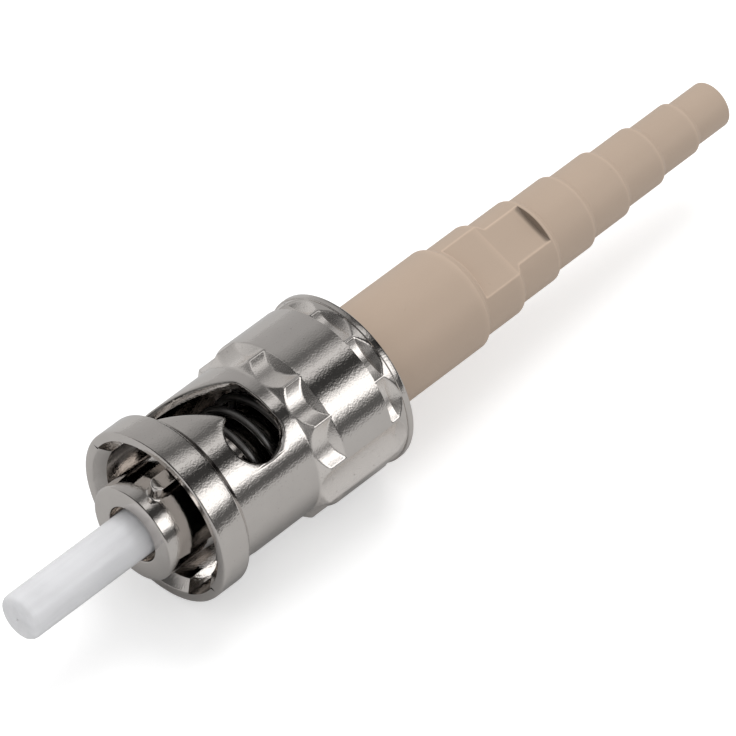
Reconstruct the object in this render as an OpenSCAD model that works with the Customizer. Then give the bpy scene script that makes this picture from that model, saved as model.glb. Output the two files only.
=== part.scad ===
// ST fibre connector: a bayonet plug with a 2.5 mm ceramic ferrule, a sprung
// coupling nut and a stepped strain-relief boot.
//
// The axis is X. The front face of the barrel is at X = 0, the ferrule points
// to -X and the cable leaves to +X. Roll angles turn about +X from +Z.

/* [Ferrule] */
// Diameter of the ferrule
ferrule_d = 2.5; // [2.3:0.05:2.7]
// Reach of the ferrule's tip in front of the barrel
ferrule_reach = 7.6; // [6:0.1:9]
// Length of the ferrule held in its holder
ferrule_grip = 2.4; // [1.5:0.1:3]
// Radius of the rounded tip edge
ferrule_round = 0.4; // [0.1:0.05:0.6]
// Diameter of the fibre bore
fibre_d = 0.126; // [0.1:0.002:0.2]
// Diameter of the lead-in at the rear of the fibre bore
fibre_funnel_d = 0.9; // [0.5:0.05:1.2]

/* [Barrel] */
// Outer diameter of the barrel
barrel_d = 5.3; // [5:0.05:5.7]
// Length of the barrel from its face to its collar
barrel_len = 4.55; // [4:0.05:5.2]
// Diameter of the mouth round the ferrule
mouth_d = 3.1; // [2.9:0.05:3.6]
// Depth of the mouth to the ferrule holder
mouth_depth = 1; // [0.6:0.05:1.4]
// Thickness of the holder's rear wall
holder_wall = 1.2; // [0.8:0.1:1.5]
// Diameter of the collar that carries the spring
collar_d = 6.5; // [6:0.05:7]
// Thickness of the collar
collar_t = 0.65; // [0.4:0.05:0.9]
// Diameter of the tube behind the collar
tube_d = 4; // [3.8:0.05:4.2]
// Length of the tube behind the clip
tube_tail = 0.8; // [0.5:0.05:1.2]
// Diameter of the passage through the tube
passage_d = 1.9; // [1.7:0.05:2.1]
// Chamfer on the barrel's edges
barrel_chamfer = 0.15; // [0.05:0.05:0.3]

/* [Key] */
// Width of the alignment key
key_w = 0.8; // [0.5:0.05:1]
// Length of the alignment key
key_len = 2.2; // [1.6:0.1:2.8]
// Height of the key above the barrel
key_h = 0.88; // [0.6:0.02:0.96]
// Setback of the key from the barrel's face
key_setback = 0.7; // [0.5:0.05:1]
// Roll of the key
key_roll = 12; // [0:1:359]

/* [Spring] */
// Length of the spring between its seats
spring_len = 4.9; // [4.2:0.1:5.6]
// Diameter of the spring wire
wire_d = 0.42; // [0.3:0.02:0.5]
// Turns of the spring with its closed ends
spring_turns = 5; // [4:0.5:6]
// Gap between the tube and the coils
spring_gap = 0.4; // [0.2:0.05:0.6]

/* [Washer and clip] */
// Diameter of the thrust washer
washer_d = 6.6; // [6.2:0.1:7.1]
// Thickness of the thrust washer
washer_t = 0.3; // [0.2:0.05:0.5]
// Diameter of the retaining clip
clip_d = 5.5; // [5:0.1:6.2]
// Thickness of the retaining clip
clip_t = 0.35; // [0.25:0.05:0.5]
// Depth of the clip's groove in the tube
clip_groove = 0.3; // [0.2:0.05:0.35]
// Width of the clip's opening
clip_open = 2.6; // [2:0.1:3.2]
// Roll of the clip's opening
clip_roll = 150; // [0:1:359]

/* [Nut] */
// Depth of the nut from its front face to its web
nut_depth = 8.95; // [8.6:0.05:9.4]
// Length of the whole nut
nut_len = 13.1; // [12.6:0.1:14]
// Outer diameter of the nut's middle
nut_d = 8.48; // [8.3:0.02:8.7]
// Wall of the nut's middle
nut_wall = 0.44; // [0.35:0.01:0.55]
// Thickness of the web that bears on the spring
web_t = 0.95; // [0.7:0.05:1.2]
// Diameter of the skirt's bore behind the web
skirt_d = 7.8; // [7.4:0.1:8]
// Diameter of the front ring
ring_d = 9.64; // [9.3:0.02:9.9]
// Length of the front ring
ring_len = 2.1; // [1.8:0.05:2.4]
// Edge rounding of the front ring
ring_round = 0.14; // [0.05:0.01:0.25]
// Chamfer behind the front ring
ring_chamfer = 0.45; // [0.2:0.05:0.5]
// Countersink at the nut's mouth
nut_mouth = 0.5; // [0.3:0.05:0.6]

/* [Bayonet slots] */
// Width of the entry grooves
entry_w = 2.2; // [1.8:0.1:2.4]
// Depth of the entry grooves in the ring's bore
entry_depth = 0.55; // [0.4:0.05:0.65]
// Roll of the first entry groove
entry_roll = -47; // [-180:1:180]
// Turn from the entry to the locking pocket
lock_turn = 74; // [71:0.5:79]
// Radius of the locking pocket
pocket_r = 1.5; // [1.3:0.05:1.6]
// Setback of the pocket's centre from the nut's face
pocket_setback = 4.9; // [4.7:0.05:5.1]
// Setback of the cam's crest from the nut's face
crest_setback = 4.35; // [4.2:0.05:4.5]
// Turn from the entry to the cam's crest
crest_turn = 54.5; // [52:0.5:56]
// Rise of the cam for each degree of turn
cam_lead = 0.062; // [0.055:0.001:0.07]
// Turn from the entry to the knee of the slot's rear edge
knee_turn = 39; // [36:0.5:42]
// Rise of the rear edge for each degree of turn up to its knee
rear_lead = 0.075; // [0.065:0.001:0.08]

/* [Grip] */
// Diameter over the grip's ridges
grip_d = 9.42; // [9.3:0.02:9.6]
// Setback of the grip from the nut's face
grip_setback = 7.3; // [7:0.1:7.6]
// Number of flutes round the grip
flute_count = 12; // [8:2:14]
// Depth of the flutes
flute_depth = 0.45; // [0.35:0.01:0.46]
// Radius of the flutes' section
flute_r = 2.4; // [2:0.1:2.5]
// Roll of the first flute that runs the whole grip
flute_roll = 91; // [0:1:359]
// Length of the notches in front of the plain band
front_notch = 1.3; // [1.1:0.05:1.5]
// Length of the notches behind the plain band
rear_notch = 1; // [0.95:0.05:1.2]
// Diameter of the rear rim
rim_d = 9.56; // [9.4:0.02:9.7]
// Width of the rear rim
rim_w = 0.4; // [0.3:0.05:0.6]

/* [Rear body] */
// Diameter of the spigot pressed in the barrel's tube
spigot_d = 2.7; // [2.5:0.05:2.8]
// Length of the spigot
spigot_len = 2.6; // [2:0.1:3.2]
// Diameter of the rear body's collar
stem_collar_d = 4.9; // [4.4:0.1:5]
// Thickness of the rear body's collar
stem_collar_t = 0.8; // [0.6:0.1:1]
// Diameter of the crimp stem
stem_d = 3.7; // [3.4:0.05:3.8]
// Length of the crimp stem behind its collar
stem_len = 7; // [6.6:0.1:7.2]
// Number of grooves round the crimp stem
stem_grooves = 8; // [4:1:10]
// Depth of the grooves round the crimp stem
stem_groove_depth = 0.12; // [0.05:0.01:0.2]
// Outer diameter of the lead-in tube
lead_tube_d = 1.4; // [1.3:0.05:1.5]
// Bore of the lead-in tube
lead_tube_bore = 1; // [0.95:0.05:1.1]
// Thickness of the crimp sleeve
sleeve_wall = 0.3; // [0.2:0.02:0.34]
// Length of the crimp sleeve
sleeve_len = 6; // [5:0.1:6]

/* [Boot] */
// Diameter of the boot's front part
boot_d = 5.78; // [5.6:0.02:6.2]
// Diameter of the boot's rear end
boot_tail_d = 2.6; // [2.3:0.05:3]
// Length of the boot's plain front part
boot_front_len = 9.8; // [9.4:0.1:10.6]
// Length of the boot's stepped tail
boot_tail_len = 19.45; // [17:0.05:21]
// Length of the tail behind its last step
boot_end_len = 2.5; // [2:0.1:3]
// Number of steps down the tail
boot_steps = 7; // [5:1:9]
// Hollow of the tail's taper at its middle
boot_hollow = 0.06; // [0:0.01:0.08]
// Radius of the bends at each step
boot_round = 0.3; // [0.2:0.02:0.4]
// Diameter of the hole for the buffered fibre
cable_bore = 1.1; // [0.95:0.05:1.3]
// Distance of the label flats from the axis
flat_height = 2.04; // [1.9:0.02:2.2]
// Gap between the tail's first step and the label flats
flat_start = 0.3; // [0.3:0.05:0.8]
// Length of the label flats
flat_len = 5; // [4:0.05:5]
// Roll of the first label flat
flat_roll = 18; // [0:1:359]

/* [Clearances] */
// Radial clearance of parts that run on the tube
run_clear = 0.06; // [0.03:0.01:0.1]
// Axial play on each side of the nut's web
axial_play = 0.05; // [0.02:0.01:0.1]
// Radial clearance of parts slipped over one another
slip_clear = 0.03; // [0.01:0.01:0.05]
// Taper of the radius along the ferrule's held length
press_taper = 0.01; // [0.005:0.005:0.02]

/* [Hidden] */
$fn = 96;
// Reach of the cutters past the faces that they open
cut_over = 1;
// Gap between the rear body's collar and the crimp sleeve
sleeve_gap = 0.5;
// Length of the tube's end that the boot covers
boot_lap = 0.3;

// Stations along the axis, from front to rear
holder_x = mouth_depth;
ferrule_end = holder_x + ferrule_grip;
holder_end = ferrule_end + holder_wall;
collar_x = barrel_len;
spring_x = collar_x + collar_t;
washer_x = spring_x + spring_len;
web_x = washer_x + washer_t + axial_play;
nut_x = web_x - nut_depth;
clip_x = web_x + web_t + axial_play;
clip_end = clip_x + clip_t;
tube_end = clip_end + tube_tail;
spigot_x = tube_end - spigot_len;
stem_x = tube_end + stem_collar_t;
stem_end = stem_x + stem_len;
sleeve_x = stem_x + sleeve_gap;
boot_x = tube_end - boot_lap;
tail_x = boot_x + boot_front_len;
boot_end = tail_x + boot_tail_len;

// Radii that follow from the driving sizes
ferrule_r = ferrule_d / 2;
barrel_r = barrel_d / 2;
tube_r = tube_d / 2;
passage_r = passage_d / 2;
groove_r = tube_r - clip_groove;
running_r = tube_r + run_clear;
coil_r = tube_r + spring_gap + wire_d / 2;
bore_r = nut_d / 2 - nut_wall;
ring_r = ring_d / 2;
grip_r = grip_d / 2;
rim_r = rim_d / 2;
stem_r = stem_d / 2;
lead_tube_r = lead_tube_d / 2;
sleeve_bore_r = stem_r + slip_clear;
sleeve_r = sleeve_bore_r + sleeve_wall;
boot_r = boot_d / 2;
cable_r = cable_bore / 2;

// A turned solid from a closed profile of [station, radius] points.
module lathe(profile) {
    rotate([0, 90, 0])
        rotate_extrude()
            polygon([for (p = profile) [p[1], p[0]]]);
}

// Turns its children, drawn above the axis, to a roll angle.
module at_roll(angle) {
    rotate([angle, 0, 0])
        children();
}

// Points of an arc in [station, radius], from angle a to angle b.
function arc(station, radius, r, a, b, steps) = [
    for (i = [0 : steps])
        let (t = a + (b - a) * i / steps)
        [station + r * cos(t), radius + r * sin(t)]
];

// The closed skin over a row of rings that have the same number of points.
module skin(rings) {
    n = len(rings[0]);
    last = len(rings) - 1;
    sides = [
        for (i = [0 : last - 1], j = [0 : n - 1])
            let (a = i * n + j, b = i * n + (j + 1) % n)
            each [[a, b + n, b], [a, a + n, b + n]]
    ];
    front = [[for (j = [0 : n - 1]) j]];
    back = [[for (j = [n - 1 : -1 : 0]) last * n + j]];
    polyhedron(points = [for (ring = rings) each ring], faces = concat(sides, front, back));
}

// ---- Ferrule and its holder ----

// Radius of the ferrule behind the barrel's face, where it is pressed in.
function held_r(x) = ferrule_r - press_taper * x / ferrule_end;

module ferrule() {
    tip = -ferrule_reach;
    color([0.86, 0.87, 0.88])
        lathe(concat(
            [[tip, fibre_d / 2]],
            arc(tip + ferrule_round, ferrule_r - ferrule_round, ferrule_round, 180, 90, 5),
            [
                [0, ferrule_r],
                [ferrule_end, held_r(ferrule_end)],
                [ferrule_end, fibre_funnel_d / 2],
                [ferrule_end - fibre_funnel_d, fibre_d / 2]
            ]
        ));
}

module ferrule_holder() {
    outer = mouth_d / 2;
    edge = (outer - ferrule_r) / 4;
    color([0.75, 0.72, 0.66])
        lathe([
            [holder_x, held_r(holder_x)],
            [holder_x, outer - edge],
            [holder_x + edge, outer],
            [holder_end, outer],
            [holder_end, lead_tube_bore / 2],
            [ferrule_end, lead_tube_bore / 2],
            [ferrule_end, held_r(ferrule_end)]
        ]);
}

// ---- Barrel ----

// Depth of the key's root in the barrel
key_root = 0.4;

module key_tab() {
    foot = barrel_r - key_root;
    height = key_root + key_h;
    end_r = key_w / 2;
    first = key_setback + end_r;
    second = key_setback + key_len - end_r;
    at_roll(key_roll) {
        for (x = [first, second])
            translate([x, 0, foot])
                cylinder(h = height, r = end_r);
        translate([first, -end_r, foot])
            cube([second - first, key_w, height]);
    }
}

module barrel() {
    mouth_r = mouth_d / 2;
    c = barrel_chamfer;
    color([0.66, 0.65, 0.63]) {
        lathe([
            [0, mouth_r + c / 2],
            [0, barrel_r - c],
            [c, barrel_r],
            [collar_x, barrel_r],
            [collar_x, collar_d / 2 - c],
            [collar_x + c, collar_d / 2],
            [spring_x, collar_d / 2],
            [spring_x, tube_r],
            [clip_x, tube_r],
            [clip_x, groove_r],
            [clip_end, groove_r],
            [clip_end, tube_r],
            [tube_end - c, tube_r],
            [tube_end, tube_r - c],
            [tube_end, spigot_d / 2],
            [spigot_x, spigot_d / 2],
            [spigot_x, passage_r],
            [holder_end, passage_r],
            [holder_end, mouth_r],
            [c / 2, mouth_r]
        ]);
        key_tab();
    }
}

// ---- Spring, washer and clip ----

seat_gap = 0.02;
closed_turns = 0.9;
closed_pitch = wire_d + seat_gap;
open_turns = spring_turns - 2 * closed_turns;
open_rise = spring_len - 2 * seat_gap - wire_d - 2 * closed_turns * closed_pitch;

// Rise of the wire's centre after u turns: closed, open, then closed again.
function coil_rise(u) = min(u, closed_turns) * closed_pitch
    + max(0, min(u - closed_turns, open_turns)) * open_rise / open_turns
    + max(0, u - closed_turns - open_turns) * closed_pitch;

// Section of the wire after u turns.
function wire_ring(u) =
    let (x = spring_x + seat_gap + wire_d / 2 + coil_rise(u), sides = 8)
    [
        for (i = [0 : sides - 1])
            let (a = 360 * i / sides, r = coil_r + wire_d / 2 * cos(a))
            [x + wire_d / 2 * sin(a), r * cos(360 * u), r * sin(360 * u)]
    ];

module spring() {
    steps_per_turn = 24;
    steps = round(spring_turns * steps_per_turn);
    color([0.72, 0.72, 0.72])
        skin([for (i = [0 : steps]) wire_ring(spring_turns * i / steps)]);
}

module thrust_washer() {
    color([0.78, 0.78, 0.78])
        lathe([
            [washer_x, running_r],
            [washer_x, washer_d / 2],
            [washer_x + washer_t, washer_d / 2],
            [washer_x + washer_t, running_r]
        ]);
}

module retaining_clip() {
    color([0.45, 0.45, 0.46])
        difference() {
            lathe([
                [clip_x, groove_r],
                [clip_x, clip_d / 2],
                [clip_end, clip_d / 2],
                [clip_end, groove_r]
            ]);
            at_roll(clip_roll)
                translate([clip_x - cut_over, -clip_open / 2, 0])
                    cube([clip_t + 2 * cut_over, clip_open, clip_d]);
        }
}

// ---- Bayonet nut, drawn from its own front face ----

// Land between the front ring and the slot
ring_land = 0.05;
// Length of the entry grooves, which run on into the slot
entry_len = ring_len + 0.2;
// Turn by which the slot starts ahead of its entry groove
start_lead = 1;
// Turn over which the knee of the slot's rear edge is rounded
knee_round = 8;
// Share of the pocket's radius at which the slot's rear edge meets it
rear_share = 0.98;
// Turn over which the cam's crest is rounded
crest_round = 4;
// Depth by which the slot's cutters reach inside the bore
cut_in = 0.5;

entry_half = asin(entry_w / 2 / (bore_r + entry_depth));
slot_start = -entry_half - start_lead;
slot_rear = pocket_setback + rear_share * pocket_r;
slot_front = ring_len + ring_land;
crest_end = crest_turn + crest_round;

// Distance below the peak of a ramp whose peak is rounded over some turn.
function below_peak(turn, rounding) = sqrt(pow(turn, 2) + pow(rounding, 2)) - rounding;

// Front edge of the slot: a ramp that rises to a rounded crest.
function cam_edge(turn) =
    let (t = min(turn, crest_end) - crest_turn)
    max(slot_front, crest_setback - cam_lead * below_peak(t, crest_round));

// Rear edge of the slot: a ramp up to a rounded knee, then level.
function rear_edge(turn) =
    let (t = min(turn, knee_turn) - knee_turn)
    max(slot_front + ring_land, slot_rear - rear_lead * below_peak(t, knee_round));

function on_wall(x, r, turn) = [x, -r * sin(turn), r * cos(turn)];

// The window that the adapter's pin travels through.
module slot_window() {
    steps = 40;
    inner = bore_r - cut_in;
    outer = ring_r;
    skin([
        for (i = [0 : steps])
            let (turn = slot_start + (lock_turn - slot_start) * i / steps)
            let (near = cam_edge(turn), far = rear_edge(turn))
            [
                on_wall(near, inner, turn),
                on_wall(far, inner, turn),
                on_wall(far, outer, turn),
                on_wall(near, outer, turn)
            ]
    ]);
}

module bayonet_slot() {
    slot_window();
    at_roll(lock_turn)
        translate([pocket_setback, 0, bore_r - cut_in])
            cylinder(h = ring_r - bore_r + cut_in, r = pocket_r);
    intersection() {
        translate([-cut_over, -entry_w / 2, 0])
            cube([entry_len + cut_over, entry_w, ring_r]);
        translate([-cut_over, 0, 0])
            rotate([0, 90, 0])
                cylinder(h = nut_depth, r = bore_r + entry_depth);
    }
}

// Land between the flutes and the rear rim
rim_land = 0.1;
// Length of the cutter's cone at each end of a flute
flute_cone = 1.5 * flute_depth;

// A cutter for one flute between two stations, with 45-degree ends.
module flute(from, to) {
    translate([0, 0, grip_r - flute_depth + flute_r])
        lathe([
            [from - flute_cone, 0],
            [from - flute_cone, flute_r - flute_cone],
            [from, flute_r],
            [to, flute_r],
            [to + flute_cone, flute_r - flute_cone],
            [to + flute_cone, 0]
        ]);
}

// Two opposite flutes run the whole grip. A plain band fills the others.
module flutes() {
    front = grip_setback - cut_over;
    rim = nut_len - rim_w;
    rear = rim - flute_depth - rim_land;
    for (k = [0 : flute_count - 1])
        at_roll(flute_roll + 360 * k / flute_count)
            if (k % (flute_count / 2) == 0)
                flute(front, rear);
            else {
                flute(front, grip_setback + front_notch - flute_depth);
                flute(rim - rear_notch + flute_depth, rear);
            }
}

module nut_blank() {
    c = ring_chamfer;
    grip_chamfer = 0.25;
    nut_r = nut_d / 2;
    lathe(concat(
        [[nut_mouth, bore_r], [0, bore_r + nut_mouth]],
        arc(ring_round, ring_r - ring_round, ring_round, 180, 90, 3),
        [
            [ring_len - c, ring_r],
            [ring_len, ring_r - c],
            [ring_len, nut_r],
            [grip_setback - grip_chamfer, nut_r],
            [grip_setback + grip_chamfer, grip_r],
            [nut_len - rim_w, grip_r],
            [nut_len - rim_w, rim_r]
        ],
        arc(nut_len - ring_round, rim_r - ring_round, ring_round, 90, 0, 3),
        [
            [nut_len, skirt_d / 2],
            [nut_depth + web_t, skirt_d / 2],
            [nut_depth + web_t, running_r],
            [nut_depth, running_r],
            [nut_depth, bore_r]
        ]
    ));
}

module bayonet_nut() {
    color([0.66, 0.65, 0.63])
        translate([nut_x, 0, 0])
            difference() {
                nut_blank();
                flutes();
                for (side = [0, 180])
                    at_roll(entry_roll + side)
                        bayonet_slot();
            }
}

// ---- Rear body, lead-in tube and crimp sleeve ----

module rear_body() {
    pitch = stem_len / (stem_grooves + 1);
    d = stem_groove_depth;
    color([0.70, 0.69, 0.66])
        lathe(concat(
            [
                [spigot_x, lead_tube_r + slip_clear],
                [spigot_x, spigot_d / 2],
                [tube_end, spigot_d / 2],
                [tube_end, stem_collar_d / 2],
                [stem_x, stem_collar_d / 2],
                [stem_x, stem_r]
            ],
            [
                for (i = [1 : stem_grooves])
                    let (x = stem_x + i * pitch)
                    each [[x - d, stem_r], [x, stem_r - d], [x + d, stem_r]]
            ],
            [
                [stem_end, stem_r],
                [stem_end, lead_tube_r + slip_clear]
            ]
        ));
}

module lead_in_tube() {
    color([0.93, 0.93, 0.90])
        lathe([
            [holder_end, lead_tube_bore / 2],
            [holder_end, lead_tube_r],
            [stem_end, lead_tube_r],
            [stem_end, lead_tube_bore / 2]
        ]);
}

module crimp_sleeve() {
    color([0.74, 0.73, 0.70])
        lathe([
            [sleeve_x, sleeve_bore_r],
            [sleeve_x, sleeve_r],
            [sleeve_x + sleeve_len, sleeve_r],
            [sleeve_x + sleeve_len, sleeve_bore_r]
        ]);
}

// ---- Boot ----

// Rounding of the boot's two ends
end_round = 0.2;
// Largest bend at a step, as a share of the step's drop
bend_share = 1.5;
step_pitch = (boot_tail_len - boot_end_len) / (boot_steps - 1);
step_drop = (boot_d - boot_tail_d) / 2 / boot_steps;

// Radius of the boot behind a number of steps: a taper, hollow at its middle.
function boot_radius(i) =
    boot_r - i * step_drop - boot_hollow * 4 * i * (boot_steps - i) / pow(boot_steps, 2);

// One step down: a rounded shoulder, a 45-degree slope and a rounded foot.
function boot_step(i) =
    let (x = tail_x + i * step_pitch, top = boot_radius(i), foot = boot_radius(i + 1))
    let (bend = min(boot_round, bend_share * (top - foot)))
    let (half = (top - foot) / 2 + bend * (sqrt(2) - 1))
    concat(
        arc(x - half, top - bend, bend, 90, 45, 3),
        arc(x + half, foot + bend, bend, 225, 270, 3)
    );

module boot_outline() {
    tail_r = boot_tail_d / 2;
    lathe(concat(
        [[boot_x, 0]],
        arc(boot_x + end_round, boot_r - end_round, end_round, 180, 90, 3),
        [for (i = [0 : boot_steps - 1]) each boot_step(i)],
        arc(boot_end - end_round, tail_r - end_round, end_round, 90, 0, 3),
        [[boot_end, 0]]
    ));
}

module label_flat() {
    x = tail_x + flat_start;
    rotate([90, 0, 0])
        linear_extrude(boot_d, center = true)
            polygon([
                [x, flat_height],
                [x + flat_len, flat_height],
                [x + flat_len, boot_d],
                [x, boot_d]
            ]);
}

module boot_bore() {
    collar_fit = stem_collar_d / 2 + slip_clear;
    sleeve_fit = sleeve_r + slip_clear;
    lathe([
        [boot_x - cut_over, 0],
        [boot_x - cut_over, collar_fit],
        [stem_x + slip_clear, collar_fit],
        [stem_x + slip_clear, sleeve_fit],
        [stem_end + slip_clear, sleeve_fit],
        [stem_end + sleeve_fit, cable_r],
        [boot_end + cut_over, cable_r],
        [boot_end + cut_over, 0]
    ]);
}

module boot() {
    color([0.72, 0.66, 0.59])
        difference() {
            boot_outline();
            boot_bore();
            for (side = [0, 180])
                at_roll(flat_roll + side)
                    label_flat();
        }
}

ferrule();
ferrule_holder();
barrel();
spring();
thrust_washer();
bayonet_nut();
retaining_clip();
rear_body();
lead_in_tube();
crimp_sleeve();
boot();
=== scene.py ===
"""The looks of an ST fibre connector: plated metal, zirconia and moulded plastic."""

import math
import types

import bmesh
import bpy
import numpy as np
from bpy.props import FloatProperty, FloatVectorProperty, IntProperty, PointerProperty
from mathutils import Matrix, Vector


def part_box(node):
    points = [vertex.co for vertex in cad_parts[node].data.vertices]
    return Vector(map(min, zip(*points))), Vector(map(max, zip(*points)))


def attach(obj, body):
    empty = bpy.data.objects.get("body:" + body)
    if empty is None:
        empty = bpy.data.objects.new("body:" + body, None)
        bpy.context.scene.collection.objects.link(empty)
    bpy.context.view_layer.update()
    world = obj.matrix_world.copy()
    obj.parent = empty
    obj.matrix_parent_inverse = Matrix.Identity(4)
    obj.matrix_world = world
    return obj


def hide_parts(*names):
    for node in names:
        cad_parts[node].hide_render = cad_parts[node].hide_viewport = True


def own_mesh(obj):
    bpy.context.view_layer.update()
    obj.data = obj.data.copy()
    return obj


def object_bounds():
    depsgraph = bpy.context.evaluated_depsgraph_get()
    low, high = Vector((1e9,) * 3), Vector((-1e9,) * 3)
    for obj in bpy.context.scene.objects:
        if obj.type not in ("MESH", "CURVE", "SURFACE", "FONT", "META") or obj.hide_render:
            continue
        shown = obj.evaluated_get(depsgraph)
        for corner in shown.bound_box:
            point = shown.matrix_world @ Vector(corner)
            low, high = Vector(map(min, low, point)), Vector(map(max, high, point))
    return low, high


bl_info = {
    "name": "ST fibre connector",
    "version": (1, 0, 0),
    "blender": (4, 5, 0),
    "location": "3D View > Sidebar > Connector",
    "description": "Builds the visible pieces of an ST fibre connector and its stage",
    "category": "Object",
}

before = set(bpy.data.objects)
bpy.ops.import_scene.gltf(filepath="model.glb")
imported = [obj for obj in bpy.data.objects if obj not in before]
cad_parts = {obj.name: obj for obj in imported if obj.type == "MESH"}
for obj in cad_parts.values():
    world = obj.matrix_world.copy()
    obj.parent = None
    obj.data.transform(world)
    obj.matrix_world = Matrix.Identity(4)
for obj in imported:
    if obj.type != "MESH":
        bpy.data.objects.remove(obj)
CAD_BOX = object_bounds()
MM = 0.001


# ---- Sizes and colours ----


def length(name, description, mm):
    return FloatProperty(
        name=name, description=description, default=mm * MM, min=0.0, unit="LENGTH", precision=5
    )


def angle(name, description, degrees):
    return FloatProperty(
        name=name, description=description, default=math.radians(degrees), subtype="ANGLE"
    )


def colour(name, description, *parts):
    return FloatVectorProperty(
        name=name, description=description, default=parts, min=0.0, max=1.0, subtype="COLOR"
    )


def count(name, description, default):
    return IntProperty(name=name, description=description, default=default, min=1)


def number(name, description, default, unit="NONE"):
    return FloatProperty(name=name, description=description, default=default, unit=unit)


def node_span(node):
    """The first and last station of a CAD node along the axis, in millimetres."""
    low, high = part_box(node)
    return low.x / MM, high.x / MM


NUT_FRONT, NUT_END = node_span("bayonet_nut")
BOOT_FRONT, BOOT_END = node_span("boot")
FERRULE_TIP, FERRULE_END = node_span("ferrule")
TUBE_END = node_span("barrel")[1]
SPRING_FRONT, SPRING_END = node_span("spring")
WASHER_FRONT, WASHER_END = node_span("thrust_washer")
CLIP_FRONT, CLIP_END = node_span("retaining_clip")


class PlugSizes(bpy.types.PropertyGroup):
    """Sizes of the ferrule, the barrel and what runs on the barrel's tube."""

    ferrule_d: length("Ferrule", "Diameter of the ferrule", 2.5)
    tip_round: length("Tip rounding", "Radius of the ferrule's tip edge", 0.4)
    fibre_d: length("Fibre bore", "Diameter of the fibre's bore", 0.126)
    barrel_d: length("Barrel", "Diameter of the barrel", 5.3)
    barrel_len: length("Barrel length", "Length of the barrel up to its collar", 4.55)
    mouth_d: length("Mouth", "Diameter of the mouth round the ferrule", 3.1)
    mouth_depth: length("Mouth depth", "Depth of the mouth and the holder's seat", 4.6)
    collar_d: length("Collar", "Diameter of the collar that carries the spring", 6.5)
    collar_t: length("Collar thickness", "Thickness of the spring's collar", 0.65)
    tube_d: length("Tube", "Diameter of the tube behind the collar", 4.0)
    key_w: length("Key width", "Width of the alignment key", 0.8)
    key_h: length("Key height", "Height of the key above the barrel", 0.88)
    key_len: length("Key length", "Length of the alignment key", 2.2)
    key_setback: length("Key setback", "Distance of the key from the barrel's face", 0.7)
    key_roll: angle("Key roll", "Turn of the key about the axis", 12.0)
    wire_d: length("Spring wire", "Diameter of the spring's wire", 0.42)
    coil_r: length("Coil radius", "Radius of the spring at its wire's centre", 2.61)
    turns: count("Spring turns", "Turns of the spring with its closed ends", 5)
    washer_d: length("Washer", "Diameter of the thrust washer", 6.6)
    clip_d: length("Clip", "Diameter of the retaining clip", 5.5)
    clip_open: length("Clip opening", "Width of the clip's opening", 2.6)
    clip_seat: length("Clip seat", "Depth of the clip's groove in the tube", 0.3)
    clip_roll: angle("Clip roll", "Turn of the clip's opening", 150.0)


class NutSizes(bpy.types.PropertyGroup):
    """Sizes of the coupling nut, from its own front face."""

    middle_d: length("Middle", "Diameter of the nut's middle", 8.48)
    bore_d: length("Bore", "Diameter of the nut's bore", 7.6)
    ring_d: length("Front ring", "Diameter of the front ring", 9.64)
    ring_len: length("Ring length", "Length of the front ring", 2.1)
    ring_chamfer: length("Ring chamfer", "Chamfer behind the front ring", 0.45)
    ring_round: length("Ring rounding", "Radius of the nut's outer edges", 0.14)
    mouth: length("Countersink", "Countersink at the nut's mouth", 0.5)
    depth: length("Web station", "Distance from the front face to the web", 8.95)
    web_t: length("Web thickness", "Thickness of the web", 0.95)
    skirt_d: length("Skirt bore", "Diameter of the bore behind the web", 7.8)
    shaft_d: length("Web bore", "Diameter of the web's bore", 4.12)
    entry_w: length("Entry width", "Width of the entry grooves", 2.2)
    entry_r: length("Entry radius", "Distance of the entry grooves' floor from the axis", 4.35)
    entry_roll: angle("Entry roll", "Turn of the first entry groove", -47.0)
    lock_turn: angle("Lock turn", "Turn from the entry to the locking pocket", 74.0)
    pocket_r: length("Pocket radius", "Radius of the locking pocket", 1.5)
    pocket_x: length("Pocket setback", "Distance of the pocket's centre from the face", 4.9)
    crest_x: length("Crest setback", "Distance of the cam's crest from the face", 4.35)
    crest_turn: angle("Crest turn", "Turn from the entry to the cam's crest", 54.5)
    cam_lead: length("Cam lead", "Rise of the cam for each degree", 0.062)
    knee_turn: angle("Knee turn", "Turn from the entry to the rear edge's knee", 39.0)
    rear_lead: length("Rear lead", "Rise of the slot's rear edge for each degree", 0.075)
    grip_d: length("Grip", "Diameter over the grip's ridges", 9.42)
    grip_x: length("Grip setback", "Distance of the grip from the front face", 7.3)
    flute_depth: length("Flute depth", "Depth of the flutes", 0.45)
    flute_r: length("Flute radius", "Radius of the flutes' section", 2.4)
    flute_roll: angle("Flute roll", "Turn of the first flute that runs the whole grip", 91.0)
    front_notch: length("Front notch", "Length of the notches before the plain band", 1.3)
    rear_notch: length("Rear notch", "Length of the notches behind the plain band", 1.0)
    rim_d: length("Rear rim", "Diameter of the rear rim", 9.56)
    rim_w: length("Rim width", "Width of the rear rim", 0.4)


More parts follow.
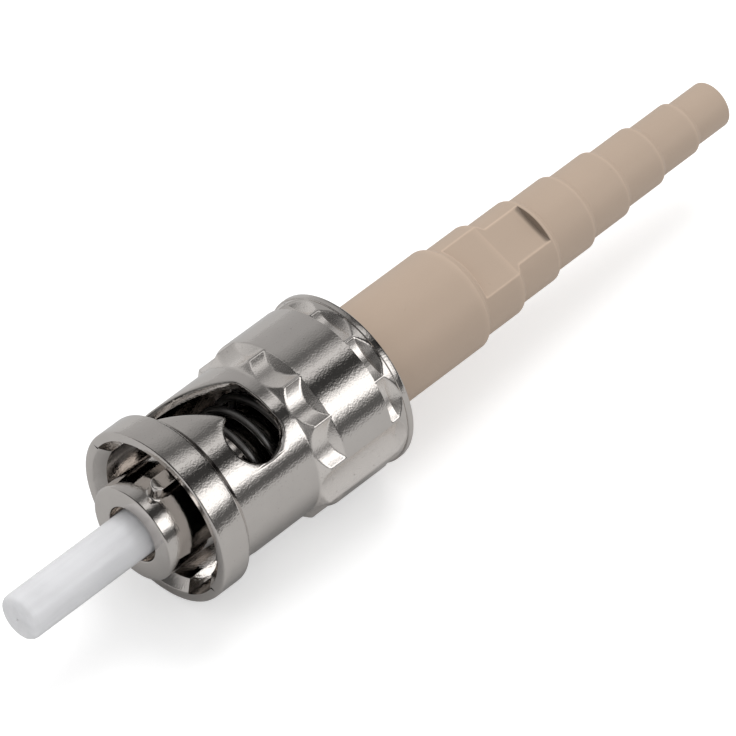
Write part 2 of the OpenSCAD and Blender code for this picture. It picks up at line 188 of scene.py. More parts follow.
class BootSizes(bpy.types.PropertyGroup):
    """Sizes of the strain-relief boot."""

    front_d: length("Front", "Diameter of the boot's front part", 5.78)
    tail_d: length("Tail", "Diameter of the boot's rear end", 2.6)
    front_len: length("Front length", "Length of the boot's plain front part", 9.8)
    end_len: length("End length", "Length of the tail behind its last step", 2.5)
    steps: count("Steps", "Steps down the tail", 7)
    hollow: length("Hollow", "Hollow of the tail's taper at its middle", 0.06)
    flat_height: length("Flat height", "Distance of the label flats from the axis", 2.04)
    flat_start: length("Flat start", "Gap between the first step and the label flats", 0.3)
    flat_len: length("Flat length", "Length of the label flats", 5.0)
    flat_roll: angle("Flat roll", "Turn of the first label flat", 18.0)
    bore_d: length("Cable bore", "Diameter of the hole for the buffered fibre", 1.1)
    sleeve_fit_d: length("Sleeve fit", "Diameter of the bore over the crimp sleeve", 4.42)
    collar_fit_d: length("Collar fit", "Diameter of the bore over the rear body's collar", 4.96)


class Finishes(bpy.types.PropertyGroup):
    """Colours of the connector's materials."""

    nickel: colour("Nickel", "Colour of the plated nut and barrel", 0.66, 0.625, 0.595)
    zirconia: colour("Zirconia", "Colour of the ferrule", 0.765, 0.765, 0.78)
    plastic: colour("Boot plastic", "Colour of the moulded boot", 0.49, 0.38, 0.295)
    # The spring's colour is darkened well below bright steel: painted shade for the spring inside the
    # nut
    spring: colour("Spring steel", "Colour of the spring", 0.2, 0.195, 0.19)
    clip: colour("Dark steel", "Colour of the retaining clip", 0.17, 0.17, 0.175)
    tube: colour("Lead-in tube", "Colour of the lead-in tube", 0.8, 0.8, 0.78)


class StageSettings(bpy.types.PropertyGroup):
    """Settings of the camera, the light and the floor."""

    lens: number("Lens", "Focal length in millimetres", 315.4, "CAMERA")
    lamp_power: number("Lamp power", "Power of the key lamp", 1.5, "POWER")
    fill: number("Fill", "Strength of the light from all round", 0.72)
    room: number("Room", "Brightness of the room in reflections", 1.0)
    floor_tone: number("Floor", "Grey of the floor", 0.78)
    floor_in_metal: number("Floor in metal", "Grey of the floor in reflections", 0.56)
    floor_glow: number("Floor glow", "White that the camera sees on the floor", 0.45)
    floor_sheen: number("Floor sheen", "White on the floor in reflections", 0.0)


def in_mm(group):
    """A group's lengths in millimetres, its angles in degrees and the rest as they are."""
    values = {}
    for name, prop in group.bl_rna.properties.items():
        if name not in ("rna_type", "name"):
            scale = {"LENGTH": 1 / MM, "ROTATION": 180 / math.pi}.get(prop.unit, 1)
            values[name] = getattr(group, name) * scale
    return types.SimpleNamespace(**values)


# ---- Surfaces ----


def on_wall(x, r, roll):
    """Points at station x, distance r and roll: (x, -r sin roll, r cos roll)."""
    turn = np.radians(roll)
    return np.stack(np.broadcast_arrays(x, -r * np.sin(turn), r * np.cos(turn)), -1)


def smooth_min(a, b, width):
    """The lesser of a and b, less width/4 (1 - |a - b|/width)^2 where they are close."""
    near = np.clip(1 - np.abs(a - b) / width, 0, 1)
    return np.minimum(a, b) - width / 4 * near**2


def ease(t):
    """3t^2 - 2t^3 between 0 and 1."""
    t = np.clip(t, 0, 1)
    return t * t * (3 - 2 * t)


def soft_outline(corners, steps=4):
    """A closed outline of [x, r, radius] corners, each bent along a quadratic curve.

    A corner P with cut points A and B becomes (1-s)^2 A + 2s(1-s) P + s^2 B.
    """
    corners = np.array(corners, float)
    place, radius = corners[:, :2], corners[:, 2]
    back, ahead = np.roll(place, 1, 0) - place, np.roll(place, -1, 0) - place
    back_len, ahead_len = np.linalg.norm(back, axis=1), np.linalg.norm(ahead, axis=1)
    back, ahead = back / back_len[:, None], ahead / ahead_len[:, None]
    half = np.arccos(np.clip((back * ahead).sum(1), -1, 1)) / 2
    cut = np.minimum(radius / np.tan(half), 0.49 * np.minimum(back_len, ahead_len))
    first, last = place + back * cut[:, None], place + ahead * cut[:, None]
    s = np.linspace(0, 1, steps + 1)[None, :, None]
    bend = (1 - s) ** 2 * first[:, None] + 2 * s * (1 - s) * place[:, None] + s**2 * last[:, None]
    return bend.reshape(-1, 2)


def ring_quads(rows, columns, open_rows=False):
    """Corner numbers of the quads of a grid that closes on itself, or has two open ends."""
    k = np.arange(rows - 1 if open_rows else rows)[:, None]
    j = np.arange(columns)[None, :]
    here, down = k * columns, (k + 1) % rows * columns
    nxt = (j + 1) % columns
    return np.stack(np.broadcast_arrays(here + j, here + nxt, down + nxt, down + j), -1)


def cap(ring):
    """Quads that fill a ring of an even number of points."""
    n = len(ring)
    i = np.arange(n // 2 - 1)
    return np.stack([ring[i], ring[i + 1], ring[n - 2 - i], ring[n - 1 - i]], -1)


def outward(points, quads):
    """The quads, turned round where the volume that they enclose comes out negative."""
    a, b, c, d = (points[quads[:, i]] for i in range(4))
    volume = (np.cross(b, c) * a).sum() + (np.cross(c, d) * a).sum()
    return quads if volume > 0 else quads[:, ::-1]


def in_scene(name, data):
    """A new object in the scene."""
    thing = bpy.data.objects.new(name, data)
    bpy.context.scene.collection.objects.link(thing)
    return thing


# Points this close, in millimetres, are one
MERGE = 0.0008


def add_piece(name, points, quads, material, body, node, sharp=35.0, painted_light=None):
    """A closed piece from points in millimetres, which rides on a body for a CAD node.

    Painted light is a number for each point, which its material reads: above 0 a painted highlight,
    below 0 painted shade.
    """
    points = np.ascontiguousarray(points.reshape(-1, 3))
    quads = outward(points, quads.reshape(-1, 4))
    mesh = bpy.data.meshes.new(name)
    mesh.vertices.add(len(points))
    mesh.vertices.foreach_set("co", (points * MM).ravel())
    mesh.loops.add(quads.size)
    mesh.loops.foreach_set("vertex_index", quads.ravel())
    mesh.polygons.add(len(quads))
    mesh.polygons.foreach_set("loop_start", np.arange(0, quads.size, 4))
    mesh.update(calc_edges=True)
    if painted_light is not None:
        mesh.attributes.new("painted_light", "FLOAT", "POINT").data.foreach_set("value", painted_light.ravel())
    shell = bmesh.new()
    shell.from_mesh(mesh)
    bmesh.ops.remove_doubles(shell, verts=shell.verts, dist=MERGE * MM)
    bmesh.ops.dissolve_degenerate(shell, edges=shell.edges, dist=MERGE / 2 * MM)
    loose = [v for v in shell.verts if not v.link_faces]
    bmesh.ops.delete(shell, geom=loose, context="VERTS")
    shell.to_mesh(mesh)
    shell.free()
    mesh.polygons.foreach_set("use_smooth", np.ones(len(mesh.polygons), bool))
    mesh.set_sharp_from_angle(angle=math.radians(sharp))
    mesh.materials.append(material)
    piece = in_scene(name, mesh)
    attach(piece, body)
    if node:
        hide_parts(node)
    return piece


def add_turned(name, corners, material, body, node):
    """A piece whose rounded outline is carried round the axis."""
    outline = soft_outline(corners)
    points = on_wall(outline[:, :1], outline[:, 1:], np.arange(0, 360, 2.5)[None, :])
    return add_piece(name, points, ring_quads(*points.shape[:2]), material, body, node)


def add_tube(name, points, material, node, capped_end=True):
    """A piece on the plug from rings of points, filled at its first ring and its last.

    The last one stays as it is where it has closed on a line.
    """
    rows, sides = points.shape[:2]
    rings = np.arange(rows * sides).reshape(rows, sides)
    quads = [ring_quads(rows, sides, open_rows=True).reshape(-1, 4), cap(rings[0, ::-1])]
    if capped_end:
        quads.append(cap(rings[-1]))
    return add_piece(name, points, np.concatenate(quads), material, "plug", node)


# ---- Ferrule, barrel and key ----


def ferrule_corners(s):
    """The ferrule's half section: a rounded tip and a fibre bore with a funnel."""
    r, bore = s.ferrule_d / 2, s.fibre_d / 2
    funnel, funnel_len = 0.45, 0.9
    return [
        (FERRULE_TIP, bore, 0.01),
        (FERRULE_TIP, r, s.tip_round),
        (FERRULE_END, r - 0.01, 0.05),
        (FERRULE_END, funnel, 0.02),
        (FERRULE_END - funnel_len, bore, 0.02),
    ]


def barrel_corners(s):
    """The barrel's half section: nose, spring collar, tube with a clip groove, and inside
    it the rear body's seat, a narrower hole and the mouth."""
    nose, tube, mouth = s.barrel_d / 2, s.tube_d / 2, s.mouth_d / 2
    collar_end = s.barrel_len + s.collar_t
    groove = tube - s.clip_seat
    seat, seat_front, hole = 1.35, TUBE_END - 2.6, 0.95
    return [
        (0.0, mouth, 0.07),
        (0.0, nose, 0.17),
        (s.barrel_len, nose, 0.03),
        (s.barrel_len, s.collar_d / 2, 0.12),
        (collar_end, s.collar_d / 2, 0.05),
        (collar_end, tube, 0.03),
        (CLIP_FRONT, tube, 0.02),
        (CLIP_FRONT, groove, 0.02),
        (CLIP_END, groove, 0.02),
        (CLIP_END, tube, 0.02),
        (TUBE_END, tube, 0.15),
        (TUBE_END, seat, 0.02),
        (seat_front, seat, 0.02),
        (seat_front, hole, 0.02),
        (s.mouth_depth, hole, 0.02),
        (s.mouth_depth, mouth, 0.02),
    ]


def key_points(s):
    """The key: a section carried round a stadium, on the barrel's curved wall.

    The section runs from a root inside the wall over a foot that spreads on it, up the
    side and over a rounded edge to the middle line of the flat top.
    """
    nose, half = s.barrel_d / 2, s.key_w / 2
    bend, foot, root = 0.07, 0.1, 0.3
    turn = np.radians(np.linspace(0, 90, 5))
    spread = np.concatenate([[foot, foot], foot * (1 - np.sin(turn[1:]))])
    rise = np.concatenate([[-root, 0.0], foot * (1 - np.cos(turn[1:]))])
    edge = -bend * (1 - np.cos(turn))
    over = s.key_h - bend + bend * np.sin(turn)
    inner = -half * np.array([0.4, 0.7, 1.0])
    spread = np.concatenate([spread, edge, inner])
    lift = np.concatenate([rise, over, [s.key_h] * 3])
    ends = np.radians(np.linspace(-90, 90, 25))
    straight = np.linspace(0, 1, 9)[1:-1]
    first, last = s.key_setback + half, s.key_setback + s.key_len - half
    around_x = np.concatenate([
        last + 0 * ends, last + (first - last) * straight,
        first + 0 * ends, first + (last - first) * straight,
    ])
    way_x = np.concatenate([np.cos(ends), 0 * straight, -np.cos(ends), 0 * straight])
    way_y = np.concatenate([np.sin(ends), 0 * straight + 1, -np.sin(ends), 0 * straight - 1])
    out = (half + spread)[:, None]
    x = around_x + out * way_x
    y = out * way_y
    wall = np.sqrt(nose**2 - y**2)
    flat = np.clip(lift / s.key_h, 0, 1)[:, None]
    z = (wall + lift[:, None]) * (1 - flat) + (nose + lift[:, None]) * flat
    roll = np.radians(s.key_roll)
    return np.stack(
        [x, -z * np.sin(roll) - y * np.cos(roll), z * np.cos(roll) - y * np.sin(roll)], -1
    )


# ---- Spring, washer and clip ----


def spring_points(s):
    """The wire's circle carried along a helix whose end turns lie close.

    After u turns the centre has risen by p u over the closed turns and evenly between
    them. The stations are limited, so that both ends come out ground flat.
    """
    wire = s.wire_d / 2
    sides, rows_a_turn, closed = 16, 64, 0.9
    u = np.linspace(0, s.turns, s.turns * rows_a_turn + 1)
    pitch, seat = s.wire_d * 1.05, s.wire_d * 0.4
    span = SPRING_END - SPRING_FRONT - 2 * seat
    middle = (span - 2 * closed * pitch) / (s.turns - 2 * closed)
    rise = (
        np.minimum(u, closed) * pitch
        + np.clip(u - closed, 0, s.turns - 2 * closed) * middle
        + np.clip(u - s.turns + closed, 0, closed) * pitch
    )
    across = np.radians(np.arange(sides) * 360 / sides)[None, :]
    x = SPRING_FRONT + seat + rise[:, None] + wire * np.sin(across)
    x = np.clip(x, SPRING_FRONT + 0.01, SPRING_END - 0.01)
    r = s.coil_r + wire * np.cos(across)
    turn = 2 * np.pi * u[:, None]
    return np.stack([x, r * np.cos(turn), r * np.sin(turn)], -1)


def add_spring(s, material):
    """The spring, on a mesh of its own."""
    spring = add_tube("spring_coil", spring_points(s), material, "spring")
    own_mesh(spring)


def washer_corners(s):
    """The washer's half section, which runs on the tube with a clearance."""
    edge, clearance = 0.05, 0.06
    inner = s.tube_d / 2 + clearance
    return [
        (WASHER_FRONT, inner, edge),
        (WASHER_FRONT, s.washer_d / 2, edge),
        (WASHER_END, s.washer_d / 2, edge),
        (WASHER_END, inner, edge),
    ]


def clip_points(s):
    """A rounded section carried round the clip's arc, from one end to the other."""
    outer, inner = s.clip_d / 2, s.tube_d / 2 - s.clip_seat
    corners = [
        (CLIP_FRONT, inner, 0.05),
        (CLIP_FRONT, outer, 0.08),
        (CLIP_END, outer, 0.08),
        (CLIP_END, inner, 0.05),
    ]
    section = soft_outline(corners, 3)
    radius = section[:, 1][None, :]
    share = np.linspace(0, 1, 97)[:, None]
    half_open = s.clip_open / 2 * 0.999
    gap = np.degrees(np.arcsin(half_open / radius))
    roll = s.clip_roll + gap + (360 - 2 * gap) * share
    return on_wall(section[:, 0][None, :], radius, roll)


# ---- Bayonet nut ----

# Radius of the slots' rounded edges
EDGE = 0.12
# A distance from the axis beyond every wall, or a station behind every piece
NOWHERE = 99.0


def below_peak(turn, rounding):
    """sqrt(turn^2 + rounding^2) - rounding: a ramp whose peak is rounded."""
    return np.sqrt(turn**2 + rounding**2) - rounding


class Slot:
    """The bayonet slot's outline: two edges over the turn from the entry groove.

    Both start at one point on the groove's wall, at the station called low. The front
    edge never comes nearer to the ring than the land.
    """

    crest_round, knee_round, opening_turn, blend = 4, 8, 3.0, 0.12

    def __init__(self, n):
        self.n = n
        self.r = n.middle_d / 2
        self.groove = math.degrees(math.asin(n.entry_w / 2 / n.entry_r))
        self.groove_wall = math.degrees(math.asin(n.entry_w / n.bore_d))
        self.start = -self.groove_wall
        self.end = n.lock_turn + math.degrees(math.asin(n.pocket_r / self.r))
        self.land = n.ring_len + 0.05
        self.low = self.land + 0.3

    def pocket_half(self, turn):
        """Half the pocket's chord: sqrt(pocket_r^2 - (R sin(turn - lock))^2)."""
        y = self.r * np.sin(np.radians(turn - self.n.lock_turn))
        return np.sqrt(np.clip(self.n.pocket_r**2 - y**2, 0, None))

    def rest_line(self, turn):
        """The line that both edges follow outside the slot, from one slot to the next."""
        n = self.n
        after = (turn - self.end) / (180 + self.start - self.end)
        line = n.pocket_x + (self.low - n.pocket_x) * ease(after)
        return np.where(turn < self.start, self.low, line)

    def edges(self, turn):
        """Front and rear edges: a cam ramp and a knee, joined with the pocket's circle."""
        n = self.n
        from_crest = np.minimum(turn, n.crest_turn + self.crest_round) - n.crest_turn
        front = n.crest_x - n.cam_lead * below_peak(from_crest, self.crest_round)
        front = np.maximum(self.land, front)
        from_knee = np.minimum(turn, n.knee_turn) - n.knee_turn
        rear = n.pocket_x + 0.98 * n.pocket_r
        rear = np.maximum(rear - n.rear_lead * below_peak(from_knee, self.knee_round), self.land + 0.05)
        half = self.pocket_half(turn)
        behind = turn > n.lock_turn
        pocket_front = np.where(half > 0, n.pocket_x - half, n.pocket_x + 1)
        front = np.where(behind, n.pocket_x - half, smooth_min(front, pocket_front, self.blend))
        rear = np.where(half > 0, np.maximum(rear * ~behind, n.pocket_x + half), rear)
        opening = np.sqrt(ease((turn - self.start) / self.opening_turn))
        opening = np.where(turn < 0, opening, 1)
        front = self.low + (front - self.low) * opening
        rear = self.low + (rear - self.low) * opening
        outside = (turn <= self.start + 1e-6) | (turn >= self.end - 1e-6)
        line = self.rest_line(turn)
        return np.where(outside, line, front), np.where(outside, line, rear)

    def outline(self):
        """Points (x, R turn) along both edges, close together."""
        circle = self.n.lock_turn + np.degrees(
            np.arcsin(self.n.pocket_r * np.sin(np.linspace(-1.3, np.pi / 2, 500)) / self.r)
        )
        turn = np.unique(np.concatenate([np.arange(self.start, self.end, 0.1), circle]))
        front, rear = self.edges(turn)
        y = self.r * np.radians(turn)
        return np.concatenate([np.stack([front, y], -1), np.stack([rear, y], -1)])


def nut_columns(n, slot):
    """Turns of the grid's columns over half the nut, from -30 degrees.

    Between evenly spread ones stand those that the shape needs: at the pocket's circle,
    beside the slot's ends, at the entry groove's walls and at both edges of the ridges.
    """
    ridge = (n.flute_roll - n.entry_roll + 15) % 30
    half_ridge = 0.64
    pocket = np.arcsin(n.pocket_r * np.sin(np.radians(np.arange(-66, 91, 4))) / slot.r)
    beside = np.array([0.1, 0.25, 0.47, 0.81, 1.3, 1.7])
    fixed = np.concatenate([
        n.lock_turn + np.degrees(pocket),
        [slot.end],
        slot.end + beside,
        slot.start - beside,
        slot.start + np.array([0, 0.15, 0.5, 1.1]),
        [-slot.groove, slot.groove, slot.groove_wall],
        np.concatenate([ridge - 60 + 30 * np.arange(7) + d for d in (-half_ridge, half_ridge)]),
    ])
    fixed = fixed[(fixed >= -30) & (fixed < 150)]
    base = np.arange(-30, 150, 1.5)
    apart = np.abs(base[:, None] - fixed[None, :]).min(1)
    return np.unique(np.round(np.concatenate([fixed, base[apart > 0.4]]), 4))


def flute_floor(n, x, turn):
    """Distance of the flutes' floor from the axis, beyond every wall where there is none.

    Each flute is cut by a round bar of radius c whose axis lies at D from the nut's:
    D cos a - sqrt(c^2 - (D sin a)^2). Past the flute's rear end c falls by the distance.
    The plain band starts with a 45-degree cone about the nut's own axis.
    """
    rim = NUT_END - NUT_FRONT - n.rim_w
    rear = rim - n.flute_depth
    first = n.flute_roll - n.entry_roll
    away = (turn - first + 15) % 30 - 15
    whole = np.abs((turn - first + 90) % 180 - 90) < 15
    past, tip = np.clip(x - rear, 0, None), 1.5 * n.flute_depth
    bar = np.where(past < tip, n.flute_r - past, 0)
    axis = n.grip_d / 2 - n.flute_depth + n.flute_r
    chord = bar**2 - (axis * np.sin(np.radians(away))) ** 2
    floor = axis * np.cos(np.radians(away)) - np.sqrt(np.clip(chord, 0, None))
    cone = n.grip_d / 2 + x - (n.grip_x + n.front_notch)
    banded = ~whole & (x <= rim - n.rear_notch)
    floor = np.where(banded, np.maximum(floor, cone), floor)
    return np.where(chord > 0, floor, NOWHERE)


def grip_radius(n, x, turn):
    """The grip: a slope up to the ridges, partly straight and partly eased, less the flutes."""
    middle, top, slope_len = n.middle_d / 2, n.grip_d / 2, 0.5
    slope = np.clip((x - n.grip_x + slope_len / 2) / slope_len, 0, 1)
    ridge = middle + (top - middle) * (0.6 * slope + 0.4 * ease(slope))
    return smooth_min(ridge, flute_floor(n, x, turn), 0.03)


def nut_points(n):
    """The nut's skin as a grid: rows run round the wall's section, columns round the axis.

    Rows go from the mouth over the ring to the slot's front edge, from its rear edge
    over the grip and rim, and back inside through the skirt, the web and the bore.
    """
    slot = Slot(n)
    turn = nut_columns(n, slot)
    front, rear = slot.edges(turn)
    in_groove = np.abs(turn) <= slot.groove + 1e-3
    front = np.where(in_groove, n.ring_len, front)
    ring, middle, bore = n.ring_d / 2, n.middle_d / 2, n.bore_d / 2
    total = NUT_END - NUT_FRONT
    one = np.ones_like(turn)
    x_rows, r_rows = [], []

    def row(x, r):
        x_rows.append(x * one)
        r_rows.append(r * one)

    def groove_row(x, r):
        row(x, np.where(in_groove, n.entry_r, r))

    def corner(x, r, radius, start, end, steps=4):
        for a in np.radians(np.linspace(start, end, steps)):
            row(x + radius * np.cos(a), r + radius * np.sin(a))

    # Countersink, front face and ring
    groove_row(0.03, bore + n.mouth - 0.03)
    groove_row(0.0, bore + n.mouth + 0.02)
    row(0.0, ring - n.ring_round - 0.08)
    corner(n.ring_round, ring - n.ring_round, n.ring_round, 180, 90, 5)
    chamfer = n.ring_len - n.ring_chamfer
    for x in (0.5, 1.0, chamfer - 0.06):
        row(x, ring)
    row(chamfer, ring - 0.012)
    row(chamfer + 0.06, ring - 0.07)
    row(n.ring_len - 0.05, ring - n.ring_chamfer + 0.05)
    groove_floor = n.entry_r + 0.01
    row(n.ring_len, np.where(in_groove, groove_floor, ring - n.ring_chamfer - 0.02))
    row(n.ring_len, np.where(in_groove, groove_floor, middle + 0.03))

    # Middle, up to the slot's front edge and on from its rear edge
    outline = slot.outline()
    wall_y = middle * np.radians(turn)

    def middle_row(x):
        gap = np.hypot(x[:, None] - outline[None, :, 0], wall_y[:, None] - outline[None, :, 1])
        near = np.clip(EDGE - gap.min(1), 0, None)
        r = middle - EDGE + np.sqrt(EDGE**2 - near**2)
        in_front = in_groove & (x <= n.ring_len + 1e-6)
        row(x, np.where(in_front, groove_floor, r))

    first, foot = np.minimum(n.ring_len + 0.03, front), n.grip_x - 0.3
    gaps, shares = (0.0, 0.01, 0.03, 0.06, 0.1, 0.14), (0.25, 0.5, 0.75, 1.0)
    for share in (0.0, *shares[:-1]):
        middle_row(first + (np.maximum(front - gaps[-1], first) - first) * share)
    for gap in gaps[::-1]:
        middle_row(np.maximum(front - gap, first))
    front_row = len(x_rows) - 1
    for gap in gaps:
        middle_row(rear + gap)
    for share in shares:
        middle_row(rear + gaps[-1] + (foot - rear - gaps[-1]) * share)

    # Grip and rim
    rim = total - n.rim_w
    band, band_end, fine = n.grip_x + n.front_notch, rim - n.rear_notch, 0.05
    stations = np.concatenate([
        np.arange(foot + fine, band + 2 * fine, fine),
        np.linspace(band + 2 * fine, band_end - 2 * fine, 8),
        np.arange(band_end - fine, rim - 0.01, fine),
    ])
    for x in stations:
        row(x, grip_radius(n, x, turn))
    rim_r = n.rim_d / 2
    row(rim, n.grip_d / 2)
    row(rim + 0.01, rim_r - 0.02)
    row(rim + 0.03, rim_r)
    corner(total - n.ring_round, rim_r - n.ring_round, n.ring_round, 90, 0, 5)

    # Skirt, web and bore
    skirt, shaft, web_end = n.skirt_d / 2, n.shaft_d / 2, n.depth + n.web_t
    for x, r in (
        (total, skirt + 0.05), (total - 0.05, skirt), (total - 1.5, skirt),
        (web_end + 0.03, skirt), (web_end, skirt - 0.03), (web_end, shaft + 0.05),
        (web_end - 0.05, shaft), (n.depth + 0.05, shaft), (n.depth, shaft + 0.05),
        (n.depth, bore - 0.03), (n.depth - 0.03, bore),
    ):
        row(x, r)
    for share in (0.3, 0.6, 0.85, 1.0):
        row(n.depth - 0.03 + (rear - n.depth + 0.03) * share, bore)
    rear_inner = len(x_rows) - 1
    for share in (0.0, 0.2, 0.5, 0.8, 1.0):
        groove_row(front + (n.mouth - front) * share, bore)
    x, r = np.array(x_rows), np.array(r_rows)

    # The entry groove's side walls are flat and parallel
    columns = np.repeat(turn[None, :], len(x), 0)
    inside = (r < middle) & (x < n.ring_len + 0.2)
    inside[:2] = True
    for side in (-1, 1):
        j = np.abs(turn - side * slot.groove_wall).argmin()
        wall = np.degrees(np.arcsin(n.entry_w / 2 / np.clip(r[:, j], bore, n.entry_r)))
        columns[:, j] = np.where(inside[:, j], side * wall, columns[:, j])
    opened = (turn >= slot.start - 1e-3) & (turn <= slot.end + 1e-3)
    return x, r, columns, front_row, rear_inner, opened


def add_nut(n, material):
    """The nut: its skin, left open along the slots, and the slots' walls through to the bore."""
    x, r, turn, front_row, rear_inner, opened = nut_points(n)
    rows, half = x.shape
    x, r = np.tile(x, (1, 2)), np.tile(r, (1, 2))
    turn = np.concatenate([turn, turn + 180], 1)
    points = on_wall(NUT_FRONT + x, r, n.entry_roll + turn)
    keep = np.ones(rows, bool)
    keep[[front_row, rear_inner]] = False
    skin = ring_quads(rows, 2 * half)[keep].reshape(-1, 4)
    opened = np.tile(opened, 2)
    here = np.flatnonzero(opened & np.roll(opened, -1))
    across = (here + 1) % (2 * half)

    def wall(first, last):
        corners = [(first, here), (first, across), (last, across), (last, here)]
        return np.stack([row * 2 * half + column for row, column in corners], -1)

    walls = wall(front_row, rear_inner + 1), wall(rear_inner, front_row + 1)
    quads = np.concatenate([skin, *walls])
    return add_piece("nut", points, quads, material, "coupling_nut", "bayonet_nut", 38.0)


# ---- Boot ----


def boot_points(b):
    """The boot's skin and its painted light, highlights and shade: rows run round the wall's section,
    columns round the axis.

    The outer radius steps down by an eased ramp at each shoulder. Its levels fall evenly,
    less 4 hollow i (n - i) / n^2 at step i of n. Over the label flats it is the lesser of
    that and height / cos(roll from the flat's middle), with a low lip where the two meet.
    """
    front_r, tail_r = b.front_d / 2, b.tail_d / 2
    tail_x = BOOT_FRONT + b.front_len
    pitch = (BOOT_END - b.end_len - tail_x) / (b.steps - 1)
    index = np.arange(b.steps + 1)
    hollow = 4 * b.hollow * index * (b.steps - index) / b.steps**2
    radius = front_r - index * (front_r - tail_r) / b.steps - hollow
    shoulders = tail_x + pitch * np.arange(b.steps)
    half = 0.21

    def outer(x):
        fall = ease((x[:, None] - shoulders + half) / (2 * half))
        return front_r - (fall * (radius[:-1] - radius[1:])).sum(1)

    flat_x = tail_x + b.flat_start
    flat_end = flat_x + b.flat_len
    near = (shoulders[:, None] + np.linspace(-half - 0.03, half + 0.03, 13)).ravel()
    plain = np.arange(BOOT_FRONT + 0.4, BOOT_END - 0.3, 0.35)
    spread = plain[np.abs(plain[:, None] - near[None, :]).min(1) > 0.1]
    body = np.concatenate([near, spread])
    clear = (np.abs(body - flat_x) > 0.06) & (np.abs(body - flat_end) > 0.06)
    body = np.sort(body[clear])
    wall, share = np.array([-0.05, -0.015, 0.0, 0.02]), np.array([0, 0.04, 0.8, 1])
    cuts = np.concatenate([flat_x + wall, flat_end - wall[::-1]])
    x = np.concatenate([body, cuts])
    inside = ((body > flat_x) & (body < flat_end)).astype(float)
    depth = np.concatenate([inside, share, share[::-1]])
    order = np.argsort(x, kind="stable")
    x, depth = x[order], depth[order]
    roll = np.arange(0, 360, 1.25) + b.flat_roll
    away = (roll - b.flat_roll + 90) % 180 - 90
    flat = b.flat_height / np.maximum(np.cos(np.radians(away)), 0.2)
    base = outer(x)[:, None]
    cut = smooth_min(base, flat[None, :], 0.035)
    lip = np.exp(-(((base - flat[None, :]) / 0.04) ** 2))
    r = base + (cut + 0.02 * lip - base) * depth[:, None]

    # Painted highlights, paler: the lips, the front edge of the flats and the shoulders. Painted shade,
    # darker: the end wall.
    edge = np.exp(-(((x - flat_x) / 0.05) ** 2))[:, None] * (base > flat[None, :])
    shoulder = np.exp(-(((x[:, None] - shoulders + half) / 0.07) ** 2)).max(1)[:, None]
    # Painted shade on the flats' end wall, darkening where the recess lies in shade
    painted_shade = np.exp(-(((x - flat_end + 0.01) / 0.035) ** 2))[:, None]
    painted_shade = painted_shade * (base > flat[None, :] + 0.01)
    painted_light = np.maximum(np.maximum(lip * depth[:, None], edge), 0.5 * shoulder) - 1.5 * painted_shade
    rounding = 0.2
    bend = np.radians(np.linspace(0, 90, 6))
    one = np.ones_like(roll)

    def arc(at, radius, way):
        rows = at + way * rounding * np.cos(bend), radius - rounding + rounding * np.sin(bend)
        return rows[0][:, None] * one, rows[1][:, None] * one

    front_arc = arc(BOOT_FRONT + rounding, front_r, -1)
    tail_arc = [part[::-1] for part in arc(BOOT_END - rounding, tail_r, 1)]
    bore, sleeve, collar = b.bore_d / 2, b.sleeve_fit_d / 2, b.collar_fit_d / 2
    collar_end, sleeve_end, cone_end = 13.43, 20.43, 22.61
    inner = np.array([
        (BOOT_END, bore + 0.06), (BOOT_END - 0.06, bore), (BOOT_END - 6, bore),
        (BOOT_END - 12, bore), (cone_end, bore), (sleeve_end, sleeve), (16.5, sleeve),
        (collar_end, sleeve), (collar_end, collar), (BOOT_FRONT + 0.05, collar),
        (BOOT_FRONT, collar + 0.05),
    ])
    x = np.concatenate([front_arc[0], x[:, None] * one, tail_arc[0], inner[:, :1] * one])
    r = np.concatenate([front_arc[1], r, tail_arc[1], inner[:, 1:] * one])
    painted_light = np.pad(painted_light, ((len(front_arc[0]), len(tail_arc[0]) + len(inner)), (0, 0)))
    return on_wall(x, r, roll[None, :]), painted_light


# ---- Shader maths ----


class Wire:
    """A value in a shader. Arithmetic on it adds Math nodes."""

    def __init__(self, shader, socket):
        self.shader, self.socket = shader, socket

    def of(self, output):
        """Another output of the same node."""
        return Wire(self.shader, self.socket.node.outputs[output])

    def __add__(self, other):
        return self.shader.maths("ADD", self, other)

    __radd__ = __add__

    def __sub__(self, other):
        return self.shader.maths("SUBTRACT", self, other)

    def __rsub__(self, other):
        return self.shader.maths("SUBTRACT", other, self)

    def __mul__(self, other):
        return self.shader.maths("MULTIPLY", self, other)

    __rmul__ = __mul__

    def __truediv__(self, other):
        return self.shader.maths("DIVIDE", self, other)

    def step(self, low, high):
        """0 below low, 1 above high, and smooth between them."""
        inputs = {"Value": self, "From Min": low, "From Max": high}
        return self.shader.add("MapRange", {"interpolation_type": "SMOOTHSTEP"}, inputs)


